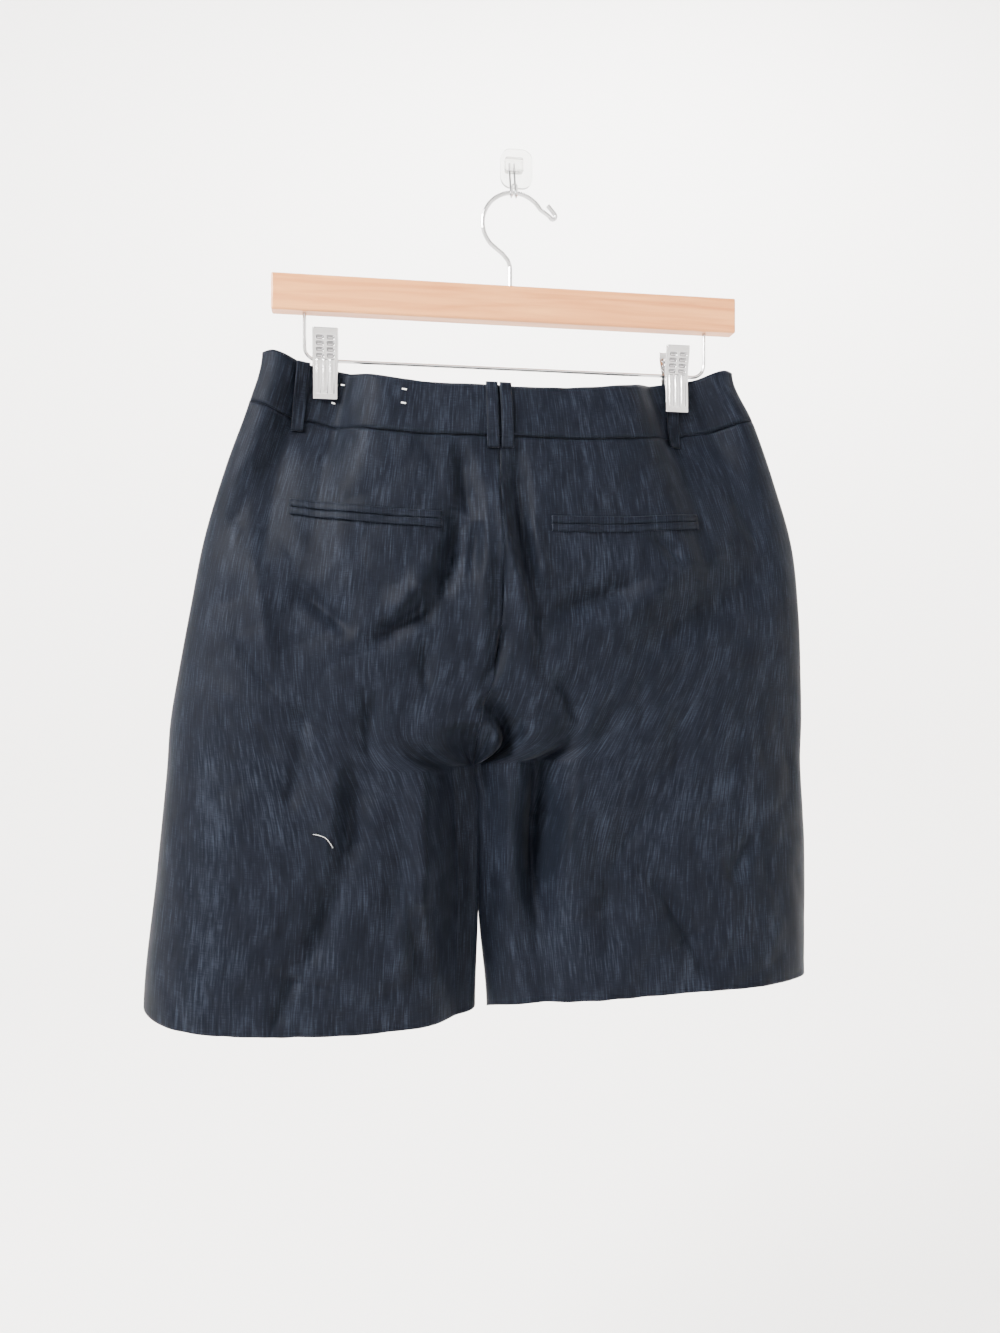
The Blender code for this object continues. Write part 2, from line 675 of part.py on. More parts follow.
def hanger(wood, steel):
    low = (HANGER_X - BAR_LENGTH / 2, -BAR_DEPTH / 2, BAR_TOP - BAR_HEIGHT)
    high = (HANGER_X + BAR_LENGTH / 2, BAR_DEPTH / 2, BAR_TOP)
    bar = box("hanger_bar", low, high, wood, rounding=0.0014, segments=2)

    # the hook: up the stem, round the crest and down to a tip folded back on itself
    middle = (0.0, HOOK_WIRE / 2 - HOOK_RADIUS)
    bowl = arc(middle, HOOK_RADIUS, 222, 32, 24)
    tip = (0.0290, 0.0, -0.0155)
    back = arc((0.0311, -0.0148), 0.0024, 205, 395, 6)
    end = (0.0272, 0.0, -0.0066)
    neck = [(-0.0046, 0.0, -0.0522), (-0.0090, 0.0, -0.0470)]
    line = [(HANGER_X, 0.0, BAR_TOP - 0.018), (HANGER_X, 0.0, -0.0620), (HANGER_X, 0.0, -0.0572)]
    line += neck + bowl + [tip] + back + [end]
    wire("hanger_hook", line, HOOK_WIRE, steel)

    # the wire below the bar that the clips slide on
    left, right = HANGER_X - FRAME_HALF, HANGER_X + FRAME_HALF
    rise = FRAME_LEVEL + FRAME_BEND
    up = BAR_TOP - BAR_HEIGHT + 0.014
    line = [(left, 0.0, up), (left, 0.0, (up + rise) / 2)]
    line += arc((left + FRAME_BEND, rise), FRAME_BEND, 180, 270, 6)
    line += [(left + (right - left) * i / 12, 0.0, FRAME_LEVEL) for i in range(1, 12)]
    line += arc((right - FRAME_BEND, rise), FRAME_BEND, 270, 360, 6)
    line += [(right, 0.0, (up + rise) / 2), (right, 0.0, up)]
    wire("hanger_wire", line, FRAME_WIRE, steel)

    # holes in the bar for the stem and the two wires
    for x, floor, roof, radius in (
        (HANGER_X, BAR_TOP - 0.020, BAR_TOP + 0.01, HOOK_WIRE / 2 + 0.0003),
        (left, BAR_TOP - BAR_HEIGHT - 0.01, up + 0.001, FRAME_WIRE / 2 + 0.0003),
        (right, BAR_TOP - BAR_HEIGHT - 0.01, up + 0.001, FRAME_WIRE / 2 + 0.0003),
    ):
        drill = bmesh.new()
        bmesh.ops.create_cone(
            drill, cap_ends=True, segments=16, radius1=radius, radius2=radius, depth=roof - floor
        )
        bmesh.ops.translate(drill, vec=(x, 0, (roof + floor) / 2), verts=drill.verts)
        cutter = finish("drill", drill, wood, smooth=False)
        cutter.hide_render = True
        cutter.display_type = "WIRE"
        cut = bar.modifiers.new("hole", "BOOLEAN")
        cut.operation = "DIFFERENCE"
        cut.object = cutter


# A clip: the bent line of one plate, from its top to its lip, as height and distance from the wire.
PLATE = (
    # height above the lip, distance from the middle
    (0.0525, 0.0112),
    (0.0465, 0.0104),
    (0.0390, 0.0076),
    (0.0302, 0.0056),
    (0.0190, 0.0054),
    (0.0080, 0.0052),
    (0.0000, 0.0048),
)
CLIP_LIP = -0.1679
PLATE_METAL = 0.0008
FLANGE = 0.0022
SPRING_OUTER = 0.0040
SPRING_BORE = 0.0018
SPRING_LENGTH = 0.0150
PAD_HEIGHT = 0.0085


def clip(side, steel, pad_stuff, extra):
    """Two sprung plates on the wire, whose padded lips hold the waistband. extra opens the back one."""
    x = CLIP_X[side]
    for face, outward, more in (("back", -1, extra), ("front", 1, 0.0)):

        def place(u, v, outward=outward, more=more):
            height, off = PLATE[round(v * (len(PLATE) - 1))]
            off += more * (1 - height / PLATE[0][0])
            column = round(u * 5)
            across = (-0.5, -0.48, -0.17, 0.17, 0.48, 0.5)[column]
            lip_in = FLANGE if column in (0, 5) else 0.0
            return Vector((x + across * CLIP_WIDTH, outward * (off - lip_in), CLIP_LIP + height))

        grid = grid_of(place, 5, len(PLATE) - 1)
        insets = insets_of(grid, (0, -outward, 0))
        cloth(f"clip_{side}_{face}_plate", grid, insets, PLATE_METAL, steel)
        lip = PINCH_HALF + SEAM_GAP / 2 + 0.0004 + more
        outer = PLATE[-1][1] + more - PLATE_METAL - 0.0003
        low_y, high_y = sorted((outward * lip, outward * outer))
        box(
            f"clip_{side}_{face}_pad",
            (x - CLIP_WIDTH / 2 + 0.0034, low_y, CLIP_LIP + 0.0006),
            (x + CLIP_WIDTH / 2 - 0.0034, high_y, CLIP_LIP + 0.0006 + PAD_HEIGHT),
            pad_stuff,
        )
    coil = bmesh.new()
    corners = (
        (SPRING_BORE, -0.5), (SPRING_OUTER, -0.5), (SPRING_OUTER, 0.5), (SPRING_BORE, 0.5),
    )
    ring = [coil.verts.new((along * SPRING_LENGTH, 0.0, radius)) for radius, along in corners]
    edges = [coil.edges.new((ring[i], ring[(i + 1) % 4])) for i in range(4)]
    bmesh.ops.spin(
        coil, geom=ring + edges, cent=(0, 0, 0), axis=(1, 0, 0), angle=2 * math.pi, steps=16,
        use_merge=True,
    )
    bmesh.ops.recalc_face_normals(coil, faces=coil.faces)
    bmesh.ops.translate(coil, vec=(x, 0, FRAME_LEVEL), verts=coil.verts)
    finish(f"clip_{side}_spring", coil, steel)


# ---------------------------------------------------------------- the wall hook

WALL_Y = 0.0215  # the wall's plane
WALL_PLATE = (0.0260, 0.0026, 0.0315)
WALL_PLATE_X = 0.0054
WALL_PLATE_LEVEL = 0.0308
WALL_WIRE = 0.0016


def wall_hook(clear, steel):
    """A clear plate that sticks to the wall, and a narrow steel hairpin that carries the hanger."""
    width, depth, height = WALL_PLATE
    plate = bmesh.new()
    bmesh.ops.create_cube(plate, size=1.0)
    bmesh.ops.scale(plate, vec=(width, depth, height), verts=plate.verts)
    upright = [e for e in plate.edges if abs(e.verts[0].co.y - e.verts[1].co.y) > depth / 2]
    bmesh.ops.bevel(
        plate, geom=upright, offset=0.0085, segments=6, profile=0.5, affect="EDGES", material=-1
    )
    middle = Vector((WALL_PLATE_X, WALL_Y - depth / 2, WALL_PLATE_LEVEL))
    bmesh.ops.translate(plate, vec=middle, verts=plate.verts)
    finish("wall_hook_plate", plate, clear)
    face = WALL_Y - depth - 0.0004
    box(
        "wall_hook_boss",
        (-0.0050, face - 0.0070, WALL_PLATE_LEVEL - 0.0060),
        (0.0100, face, WALL_PLATE_LEVEL + 0.0060),
        clear, rounding=0.0018, segments=2,
    )
    # the hairpin: two strands out of the boss, down, and round under the hanger's hook
    half = 0.0019
    front = face - 0.0070 - 0.0004 - WALL_WIRE / 2
    cup = HOOK_WIRE / 2 + WALL_WIRE / 2 + 0.0007
    crest = HOOK_WIRE / 2

    def strand(x):
        line = [(x, front, WALL_PLATE_LEVEL - 0.0010), (x, front, WALL_PLATE_LEVEL - 0.0070)]
        line.append((x, front - 0.0018, WALL_PLATE_LEVEL - 0.0115))
        for i in range(9):
            turn = math.radians(10 - 200 * i / 8)
            line.append((x, cup * math.cos(turn), crest + cup * math.sin(turn)))
        line.append((x * 0.9, -cup - 0.0004, crest + 0.0042))
        return line

    left, right = strand(-half), strand(half)
    tip = [(0.0, -cup - 0.0006, crest + 0.0054)]
    wire("wall_hook_wire", left + tip + right[::-1], WALL_WIRE, steel, sides=2)


# ---------------------------------------------------------------- all of it


def main():
    clear_scene()
    denim = material("navy_denim", (0.020, 0.026, 0.042), 0.62)
    wood = material("beech", (0.76, 0.47, 0.27), 0.45)
    chrome = material("chromed_steel", (0.80, 0.80, 0.79), 0.22, metallic=1.0)
    pad = material("clip_pad", (0.55, 0.36, 0.30), 0.6)
    clear = material("clear_plastic", (0.93, 0.94, 0.92), 0.08, alpha=0.35)
    tape = material("zip_tape", (0.018, 0.022, 0.034), 0.7)
    button = material("navy_button", (0.015, 0.018, 0.028), 0.35)

    panels = leg_panels(denim)
    bands = waistband(denim)
    skins = {
        "back": skin_tree(bands["back"], panels["back", "left"][0], panels["back", "right"][0]),
        "front": skin_tree(
            bands["front", "left"], bands["front", "right"],
            panels["front", "left"][0], panels["front", "right"][0],
        ),
    }
    for side in ("left", "right"):
        hem(side, panels, denim)
        welt_pocket(side, skins["back"], denim)
    for name, face, x_top, x_bottom, arch in LOOPS:
        belt_loop(name, face, x_top, x_bottom, arch, skins[face], denim)
    fly(panels, bands, denim, chrome, tape, button)
    hanger(wood, chrome)
    clip("left", chrome, pad, 0.0)
    clip("right", chrome, pad, LOOP_CLOTH + LAYER_GAP + 0.0007)
    wall_hook(clear, chrome)


main()
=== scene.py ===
import json
import math

import bmesh
import bpy
import numpy as np
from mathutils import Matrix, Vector
from mathutils.bvhtree import BVHTree

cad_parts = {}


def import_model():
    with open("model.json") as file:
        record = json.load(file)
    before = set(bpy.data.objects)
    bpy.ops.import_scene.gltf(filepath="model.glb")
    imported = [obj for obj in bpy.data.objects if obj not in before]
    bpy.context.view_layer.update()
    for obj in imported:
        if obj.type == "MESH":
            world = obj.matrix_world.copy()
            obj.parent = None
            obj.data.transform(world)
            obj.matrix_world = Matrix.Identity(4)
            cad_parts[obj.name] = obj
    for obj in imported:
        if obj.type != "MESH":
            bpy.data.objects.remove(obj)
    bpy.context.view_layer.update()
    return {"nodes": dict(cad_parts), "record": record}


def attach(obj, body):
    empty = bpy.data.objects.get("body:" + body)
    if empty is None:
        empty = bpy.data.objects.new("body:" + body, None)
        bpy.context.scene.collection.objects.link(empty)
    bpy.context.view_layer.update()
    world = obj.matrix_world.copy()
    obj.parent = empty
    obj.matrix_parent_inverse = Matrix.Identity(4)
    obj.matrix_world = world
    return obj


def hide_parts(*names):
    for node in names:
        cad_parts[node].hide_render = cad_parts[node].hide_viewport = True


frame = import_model()

# Metres. The back of the shorts faces -Y, the wearer's right is +X, and the origin is the crest of
# the hanger's hook.

# ------------------------------------------------------------------ camera

camera = {"place": (-0.1293, -0.7781, -0.3719), "turn": -8.64, "lens": 27.0}


def makeCamera():
    eye = bpy.data.objects.new("camera", bpy.data.cameras.new("camera"))
    eye.data.lens = camera["lens"]
    eye.data.clip_start = 0.01
    eye.location = camera["place"]
    eye.rotation_euler = (math.pi / 2, 0, math.radians(camera["turn"]))
    bpy.context.collection.objects.link(eye)
    bpy.context.scene.camera = eye
    print("camera: lens", camera["lens"], "mm, turned", camera["turn"], "degrees")


# ------------------------------------------------------------------ the garment's form

# The same form as the solids. body rows: level, x of the left and right side seams and of the centre
# seam, and how far the middle of the back and of the front stand off. legs rows: level, x of the left
# and right inner edges, depth behind and before, and how far forward the inseam hangs.
form = {
    "seamGap": 0.0002,
    "sideSeamY": -0.003,
    "body": (
        (-0.134, -0.1935, 0.1790, -0.0170, 0.021, 0.010),
        (-0.174, -0.2035, 0.1965, -0.0170, 0.028, 0.012),
        (-0.220, -0.2195, 0.2130, -0.0172, 0.038, 0.014),
        (-0.275, -0.2355, 0.2290, -0.0168, 0.046, 0.015),
        (-0.330, -0.2460, 0.2348, -0.0175, 0.051, 0.015),
        (-0.378, -0.2545, 0.2362, -0.0240, 0.053, 0.015),
        (-0.413, -0.2600, 0.2365, -0.0335, 0.054, 0.014),
        (-0.450, -0.2625, 0.2350, -0.0350, 0.055, 0.014),
        (-0.520, -0.2690, 0.2375, -0.0350, 0.056, 0.014),
        (-0.630, -0.2790, 0.2370, -0.0350, 0.056, 0.014),
    ),
    "legs": (
        (-0.400, -0.0347, -0.0353, 0.050, 0.014, 0.018),
        (-0.446, -0.0345, -0.0356, 0.052, 0.014, 0.018),
        (-0.470, -0.0316, -0.0326, 0.054, 0.014, 0.017),
        (-0.510, -0.0304, -0.0316, 0.055, 0.014, 0.016),
        (-0.560, -0.0306, -0.0308, 0.056, 0.014, 0.015),
        (-0.635, -0.0330, -0.0245, 0.057, 0.014, 0.015),
    ),
    # share from centre to side: the waistband's top and seam behind, then before
    "waist": (
        (0.00, -0.1588, -0.1987, -0.1530, -0.1925),
        (0.30, -0.1577, -0.1985, -0.1520, -0.1918),
        (0.50, -0.1532, -0.1955, -0.1492, -0.1892),
        (0.62, -0.1482, -0.1905, -0.1465, -0.1868),
        (0.72, -0.1443, -0.1858, -0.1440, -0.1845),
        (0.84, -0.1405, -0.1815, -0.1405, -0.1812),
        (0.95, -0.1338, -0.1748, -0.1338, -0.1748),
        (1.00, -0.1345, -0.1728, -0.1345, -0.1728),
    ),
    # heights of each hem at the side seam, in the middle and at the inseam
    "hems": {
        ("back", "left"): (-0.6205, -0.6335, -0.6300),
        ("back", "right"): (-0.6195, -0.6165, -0.6320),
        ("front", "left"): (-0.6205, -0.6250, -0.6300),
        ("front", "right"): (-0.6195, -0.6190, -0.6320),
    },
    # shares of a panel's length where the seat turns into the leg, at the crotch and elsewhere
    "crotch": (0.505, 0.575),
    "seatToLeg": (0.30, 0.80),
    # shares of its width between which one turns into the other, and how it tucks under the band
    "nearCrotch": (0.62, 0.97),
    "tuckRows": 230,
    "tuckUp": 0.0014,
    "tuckIn": 0.0013,
    "fullness": {"back": 2.6, "front": 3.4, "leg": 3.0},
    "clips": {"left": -0.1465, "right": 0.1315},
    # level, strength of the clips' pinch and half of the thickness there
    "pinch": (
        (-0.134, 1.00, 0.0023),
        (-0.190, 1.00, 0.0026),
        (-0.220, 0.62, 0.0060),
        (-0.265, 0.32, 0.0100),
        (-0.330, 0.12, 0.0140),
        (-0.400, 0.00, 0.0140),
    ),
    "pinchFlat": 0.075,
    "pinchEase": 0.085,
}

# Each fold runs through three places (x, z) and has a half width to either hand and a depth: in for
# a trough (+), out for a ridge (-).
backFolds = (
    # the deep pleat beside the crotch, and the ridges and hollows of the inner legs
    ((-0.033, -0.396), (-0.002, -0.448), (0.011, -0.560), 0.006, 0.006, 0.023),
    ((0.004, -0.445), (0.010, -0.520), (0.016, -0.640), 0.013, 0.011, 0.012),
    ((-0.030, -0.425), (-0.014, -0.455), (-0.012, -0.630), 0.007, 0.009, -0.006),
    ((0.012, -0.425), (0.024, -0.475), (0.030, -0.560), 0.009, 0.014, -0.005),
    ((-0.046, -0.412), (-0.045, -0.500), (-0.049, -0.680), 0.010, 0.020, 0.026),
    ((-0.056, -0.430), (-0.070, -0.500), (-0.088, -0.590), 0.012, 0.010, -0.009),
    ((-0.081, -0.540), (-0.083, -0.565), (-0.077, -0.612), 0.003, 0.005, 0.004),
    # drag lines beside the centre seam
    ((-0.047, -0.205), (-0.044, -0.235), (-0.040, -0.263), 0.005, 0.004, 0.004),
    ((-0.052, -0.255), (-0.053, -0.279), (-0.058, -0.310), 0.004, 0.006, 0.004),
    ((-0.035, -0.265), (-0.037, -0.283), (-0.040, -0.310), 0.003, 0.004, 0.003),
    ((-0.030, -0.225), (-0.029, -0.290), (-0.031, -0.360), 0.006, 0.005, -0.003),
    ((-0.019, -0.228), (-0.010, -0.295), (0.020, -0.382), 0.006, 0.005, -0.005),
    ((-0.004, -0.200), (-0.002, -0.260), (0.010, -0.345), 0.005, 0.006, 0.005),
    ((0.004, -0.320), (0.009, -0.350), (0.016, -0.385), 0.004, 0.005, 0.004),
    ((0.004, -0.245), (0.009, -0.285), (0.016, -0.315), 0.003, 0.004, -0.003),
    ((0.020, -0.375), (0.036, -0.394), (0.056, -0.418), 0.004, 0.005, 0.004),
    ((-0.018, -0.340), (-0.021, -0.362), (-0.034, -0.390), 0.003, 0.004, 0.003),
    # the left hip and seat
    ((-0.176, -0.205), (-0.184, -0.250), (-0.192, -0.300), 0.008, 0.010, 0.005),
    ((-0.172, -0.195), (-0.200, -0.243), (-0.230, -0.292), 0.012, 0.014, 0.006),
    ((-0.200, -0.268), (-0.193, -0.325), (-0.186, -0.385), 0.010, 0.009, -0.005),
    ((-0.172, -0.310), (-0.146, -0.331), (-0.125, -0.350), 0.007, 0.006, 0.005),
    ((-0.118, -0.358), (-0.088, -0.338), (-0.064, -0.322), 0.005, 0.006, 0.005),
    ((-0.067, -0.327), (-0.057, -0.301), (-0.050, -0.272), 0.004, 0.005, 0.004),
    ((-0.105, -0.345), (-0.085, -0.322), (-0.068, -0.300), 0.008, 0.008, -0.004),
    ((-0.074, -0.352), (-0.075, -0.370), (-0.074, -0.392), 0.003, 0.004, 0.003),
    ((-0.216, -0.350), (-0.200, -0.374), (-0.188, -0.399), 0.004, 0.004, 0.003),
    ((-0.190, -0.396), (-0.174, -0.414), (-0.154, -0.433), 0.005, 0.004, 0.003),
    ((-0.230, -0.380), (-0.215, -0.400), (-0.196, -0.428), 0.006, 0.006, -0.002),
    # the left leg
    ((-0.116, -0.388), (-0.131, -0.418), (-0.145, -0.446), 0.006, 0.005, 0.005),
    ((-0.140, -0.440), (-0.152, -0.458), (-0.165, -0.478), 0.005, 0.005, 0.003),
    ((-0.094, -0.432), (-0.114, -0.478), (-0.132, -0.522), 0.007, 0.006, 0.006),
    ((-0.128, -0.512), (-0.146, -0.554), (-0.163, -0.600), 0.007, 0.006, 0.004),
    ((-0.104, -0.430), (-0.124, -0.470), (-0.146, -0.520), 0.006, 0.006, -0.004),
    ((-0.166, -0.590), (-0.174, -0.610), (-0.184, -0.634), 0.004, 0.004, 0.003),
    ((-0.181, -0.588), (-0.159, -0.598), (-0.118, -0.606), 0.004, 0.005, 0.002),
    ((-0.072, -0.450), (-0.088, -0.520), (-0.104, -0.580), 0.008, 0.008, 0.004),
    # the right hip and leg
    ((0.010, -0.333), (0.055, -0.321), (0.095, -0.303), 0.008, 0.008, 0.005),
    ((0.070, -0.368), (0.150, -0.322), (0.212, -0.290), 0.016, 0.020, 0.007),
    ((0.060, -0.345), (0.130, -0.298), (0.190, -0.270), 0.018, 0.016, -0.004),
    ((0.098, -0.268), (0.110, -0.280), (0.124, -0.292), 0.004, 0.004, 0.003),
    ((0.170, -0.232), (0.184, -0.255), (0.197, -0.282), 0.006, 0.006, 0.004),
    ((0.071, -0.395), (0.092, -0.430), (0.097, -0.470), 0.010, 0.010, 0.004),
    ((0.097, -0.462), (0.074, -0.500), (0.060, -0.540), 0.010, 0.010, 0.003),
    ((0.060, -0.530), (0.061, -0.552), (0.066, -0.580), 0.007, 0.008, 0.003),
    ((0.078, -0.514), (0.111, -0.553), (0.142, -0.615), 0.006, 0.005, 0.004),
    ((0.176, -0.500), (0.167, -0.518), (0.156, -0.538), 0.005, 0.005, 0.003),
    ((0.200, -0.350), (0.212, -0.430), (0.206, -0.520), 0.016, 0.014, 0.003),
)
frontFolds = (
    ((-0.060, -0.230), (-0.100, -0.330), (-0.135, -0.430), 0.018, 0.016, 0.005),
    ((0.030, -0.235), (0.070, -0.340), (0.112, -0.440), 0.018, 0.020, 0.005),
    ((-0.030, -0.350), (-0.080, -0.395), (-0.150, -0.415), 0.010, 0.012, 0.004),
    ((-0.022, -0.350), (0.050, -0.400), (0.120, -0.415), 0.011, 0.010, 0.004),
    ((-0.135, -0.450), (-0.146, -0.530), (-0.150, -0.615), 0.018, 0.020, 0.005),
    ((-0.215, -0.300), (-0.190, -0.330), (-0.160, -0.350), 0.008, 0.008, 0.003),
    ((0.116, -0.460), (0.128, -0.540), (0.130, -0.615), 0.018, 0.018, 0.005),
    ((0.200, -0.290), (0.170, -0.330), (0.140, -0.345), 0.009, 0.009, 0.003),
)


def curve(table, column, at):
    """A column of a table at some places, eased through its rows as the solids are."""
    rows = sorted(table)
    keys = np.array([row[0] for row in rows])
    values = np.array([row[column] for row in rows])
    slopes = np.zeros(len(rows))
    slopes[1:-1] = (values[2:] - values[:-2]) / (keys[2:] - keys[:-2])
    at = np.clip(np.asarray(at, float), keys[0], keys[-1])
    low = np.clip(np.searchsorted(keys, at, side="right") - 1, 0, len(rows) - 2)
    span = keys[low + 1] - keys[low]
    t = (at - keys[low]) / span
    return (
        (1 + 2 * t) * (1 - t) ** 2 * values[low]
        + t * (1 - t) ** 2 * span * slopes[low]
        + t**2 * (3 - 2 * t) * values[low + 1]
        + t**2 * (t - 1) * span * slopes[low + 1]
    )


foldShape = {
    "stations": 15,
    # how much of a fold's length fades out at its ends, and what is left at the very end
    "fade": 3.2,
    "end": 0.05,
    # the rounding of a crease, and the spread and sharpness of its sides
    "round": 0.0012,
    "spread": 1.15,
    "sharpness": 1.35,
    # folds up to this deep are drawn stronger
    "fineDepth": 0.011,
    "fine": 2.0,
    "deep": 1.5,
}


def foldDepth(x, z, folds):
    """How far the folds push the cloth in at each place."""
    total = np.zeros_like(x)
    for start, middle, end, left, right, depth in folds:
        start, middle, end = np.array(start), np.array(middle), np.array(end)
        bend = 2 * middle - (start + end) / 2
        stations = np.linspace(0, 1, foldShape["stations"])[:, None]
        line = (1 - stations) ** 2 * start + 2 * stations * (1 - stations) * bend + stations**2 * end
        nearest = np.full_like(x, 9.0)
        nearX = np.zeros_like(x)
        along = np.zeros_like(x)
        for number, (a, b) in enumerate(zip(line, line[1:])):
            step = b - a
            t = np.clip(((x - a[0]) * step[0] + (z - a[1]) * step[1]) / (step @ step), 0, 1)
            away = np.hypot(x - a[0] - t * step[0], z - a[1] - t * step[1])
            closer = away < nearest
            nearest = np.where(closer, away, nearest)
            nearX = np.where(closer, a[0] + t * step[0], nearX)
            along = np.where(closer, (number + t) / (len(line) - 1), along)
        width = np.where(x < nearX, left, right)
        taper = np.clip(np.minimum(along, 1 - along) * foldShape["fade"] + foldShape["end"], 0, 1)
        away = np.hypot(nearest, foldShape["round"]) - foldShape["round"]
        strength = foldShape["deep" if abs(depth) > foldShape["fineDepth"] else "fine"]
        steepness = (away / (foldShape["spread"] * width)) ** foldShape["sharpness"]
        total += strength * depth * taper * np.exp(-steepness)
    return total


def ripple(x, z):
    """Slight unevenness of pressed cotton, in metres."""
    soft = np.sin(x * 61 + 1.3 * np.sin(z * 37)) * np.sin(z * 29 + 0.8 * np.sin(x * 47))
    fine = np.sin(x * 173 + 2.1 * np.sin(z * 71)) * np.sin(z * 97 + 1.7 * np.sin(x * 113))
    crisp = np.abs(np.sin(x * 88 - z * 31 + 1.9 * np.sin(z * 53 + x * 21)))
    return 0.0011 * soft + 0.00045 * fine - 0.0011 * crisp


def eased(value, low, high):
    t = np.clip((value - low) / (high - low), 0, 1)
    return t**2 * (3 - 2 * t)


def swell(share, fullness):
    return np.sqrt(np.clip(1 - np.abs(share) ** fullness, 0, None))


def pinchAt(side, share, z):
    clipShare = (form["clips"][side] - curve(form["body"], 3, -0.150)) / (
        curve(form["body"], 1 if side == "left" else 2, -0.150) - curve(form["body"], 3, -0.150)
    )
    off = np.clip(np.abs(share - clipShare) - form["pinchFlat"], 0, None)
    return curve(form["pinch"], 1, z) * np.exp(-((off / form["pinchEase"]) ** 2))


def bodyPlace(face, side, share, z, folds=True):
    """X and Y of the body, at a share of the way from the centre to the side seam."""
    behind = face == "back"
    centre = curve(form["body"], 3, z)
    x = centre + (curve(form["body"], 1 if side == "left" else 2, z) - centre) * share
    reach = curve(form["body"], 4 if behind else 5, z) * swell(share, form["fullness"][face])
    held = pinchAt(side, share, z)
    reach = reach * (1 - held) + np.minimum(reach, curve(form["pinch"], 2, z)) * held
    if folds:
        sunk = foldDepth(x, z, backFolds if behind else frontFolds) + ripple(x, z)
        reach = reach - sunk * swell(share, 2.6) * (1 - held)
    middle = form["sideSeamY"] * (1 - held)
    return x, middle - reach if behind else middle + reach


def legPlace(face, side, share, z):
    """X and Y of a leg, at a share from -1 at the side seam to 1 at the inseam."""
    behind = face == "back"
    outer = curve(form["body"], 1 if side == "left" else 2, z)
    inner = curve(form["legs"], 1 if side == "left" else 2, z)
    x = (outer + inner) / 2 + (inner - outer) / 2 * share
    inseam = curve(form["legs"], 5, z) * np.clip(share, 0, None) ** 2
    depth = curve(form["legs"], 3 if behind else 4, z)
    reach = (depth - inseam if behind else depth) * swell(share, form["fullness"]["leg"])
    sunk = foldDepth(x, z, backFolds if behind else frontFolds) + ripple(x, z)
    reach = reach - sunk * swell(share, form["fullness"]["leg"])
    middle = form["sideSeamY"] - inseam
    return x, middle - reach if behind else middle + reach


def panelPlace(face, side, u, v):
    """Points of a panel, u from the side seam to the centre and v from the waist to the hem."""
    share = np.cos(math.pi / 2 * u)
    legShare = np.sin(math.pi / 2 * (2 * u - 1))
    tucked = np.clip(1 - v * form["tuckRows"], 0, 1)
    top = curve(form["waist"], 2 if face == "back" else 4, share) - 2 * form["seamGap"]
    top = top + form["tuckUp"] * tucked
    outer, middle, inner = form["hems"][face, side]
    hem = outer * (1 - u) * (1 - 2 * u) + middle * 4 * u * (1 - u) + inner * u * (2 * u - 1)
    z = top + (hem - top) * v
    low, high = form["crotch"]
    sharp = np.clip((v - low) / (high - low), 0, 1) ** 2.2
    easy = eased(v, *form["seatToLeg"])
    near = eased(u, *form["nearCrotch"])
    dive = sharp * near + easy * (1 - near)
    bodyX, bodyY = bodyPlace(face, side, share, z)
    legX, legY = legPlace(face, side, legShare, z)
    x = bodyX * (1 - dive) + legX * dive + (-1 if side == "left" else 1) * form["seamGap"]
    y = bodyY * (1 - dive) + legY * dive + (-1 if face == "back" else 1) * (
        form["seamGap"] - form["tuckIn"] * tucked
    )
    return np.stack([x, y, z], -1)


band = {"puff": 0.0007, "proud": 0.0005}


def bandPlace(face, side, share, down):
    """Points of the waistband, down from 0 at its top edge to 1 at its seam."""
    top = curve(form["waist"], 1 if face == "back" else 3, share)
    seam = curve(form["waist"], 2 if face == "back" else 4, share) + form["seamGap"]
    z = top + (seam - top) * down
    x, y = bodyPlace(face, side, share, z)
    outward = -1 if face == "back" else 1
    puffed = band["puff"] * np.clip(np.sin(math.pi * np.clip(down, 0, 1)), 0, None) ** 0.3
    free = (1 - share**6) * (1 - pinchAt(side, share, z))
    y = y + outward * ((band["proud"] + puffed) * free + form["seamGap"])
    return np.stack([x, y, z], -1)


# ------------------------------------------------------------------ making pieces


def finishPiece(name, mesh, material, nodes=()):
    """An object from a bmesh, riding on the one body and standing for its solids."""
    data = bpy.data.meshes.new(name)
    mesh.to_mesh(data)
    mesh.free()
    data.shade_smooth()
    piece = bpy.data.objects.new(name, data)
    piece.data.materials.append(material)
    bpy.context.collection.objects.link(piece)
    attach(piece, "root")
    if nodes:
        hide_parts(*nodes)
    return piece


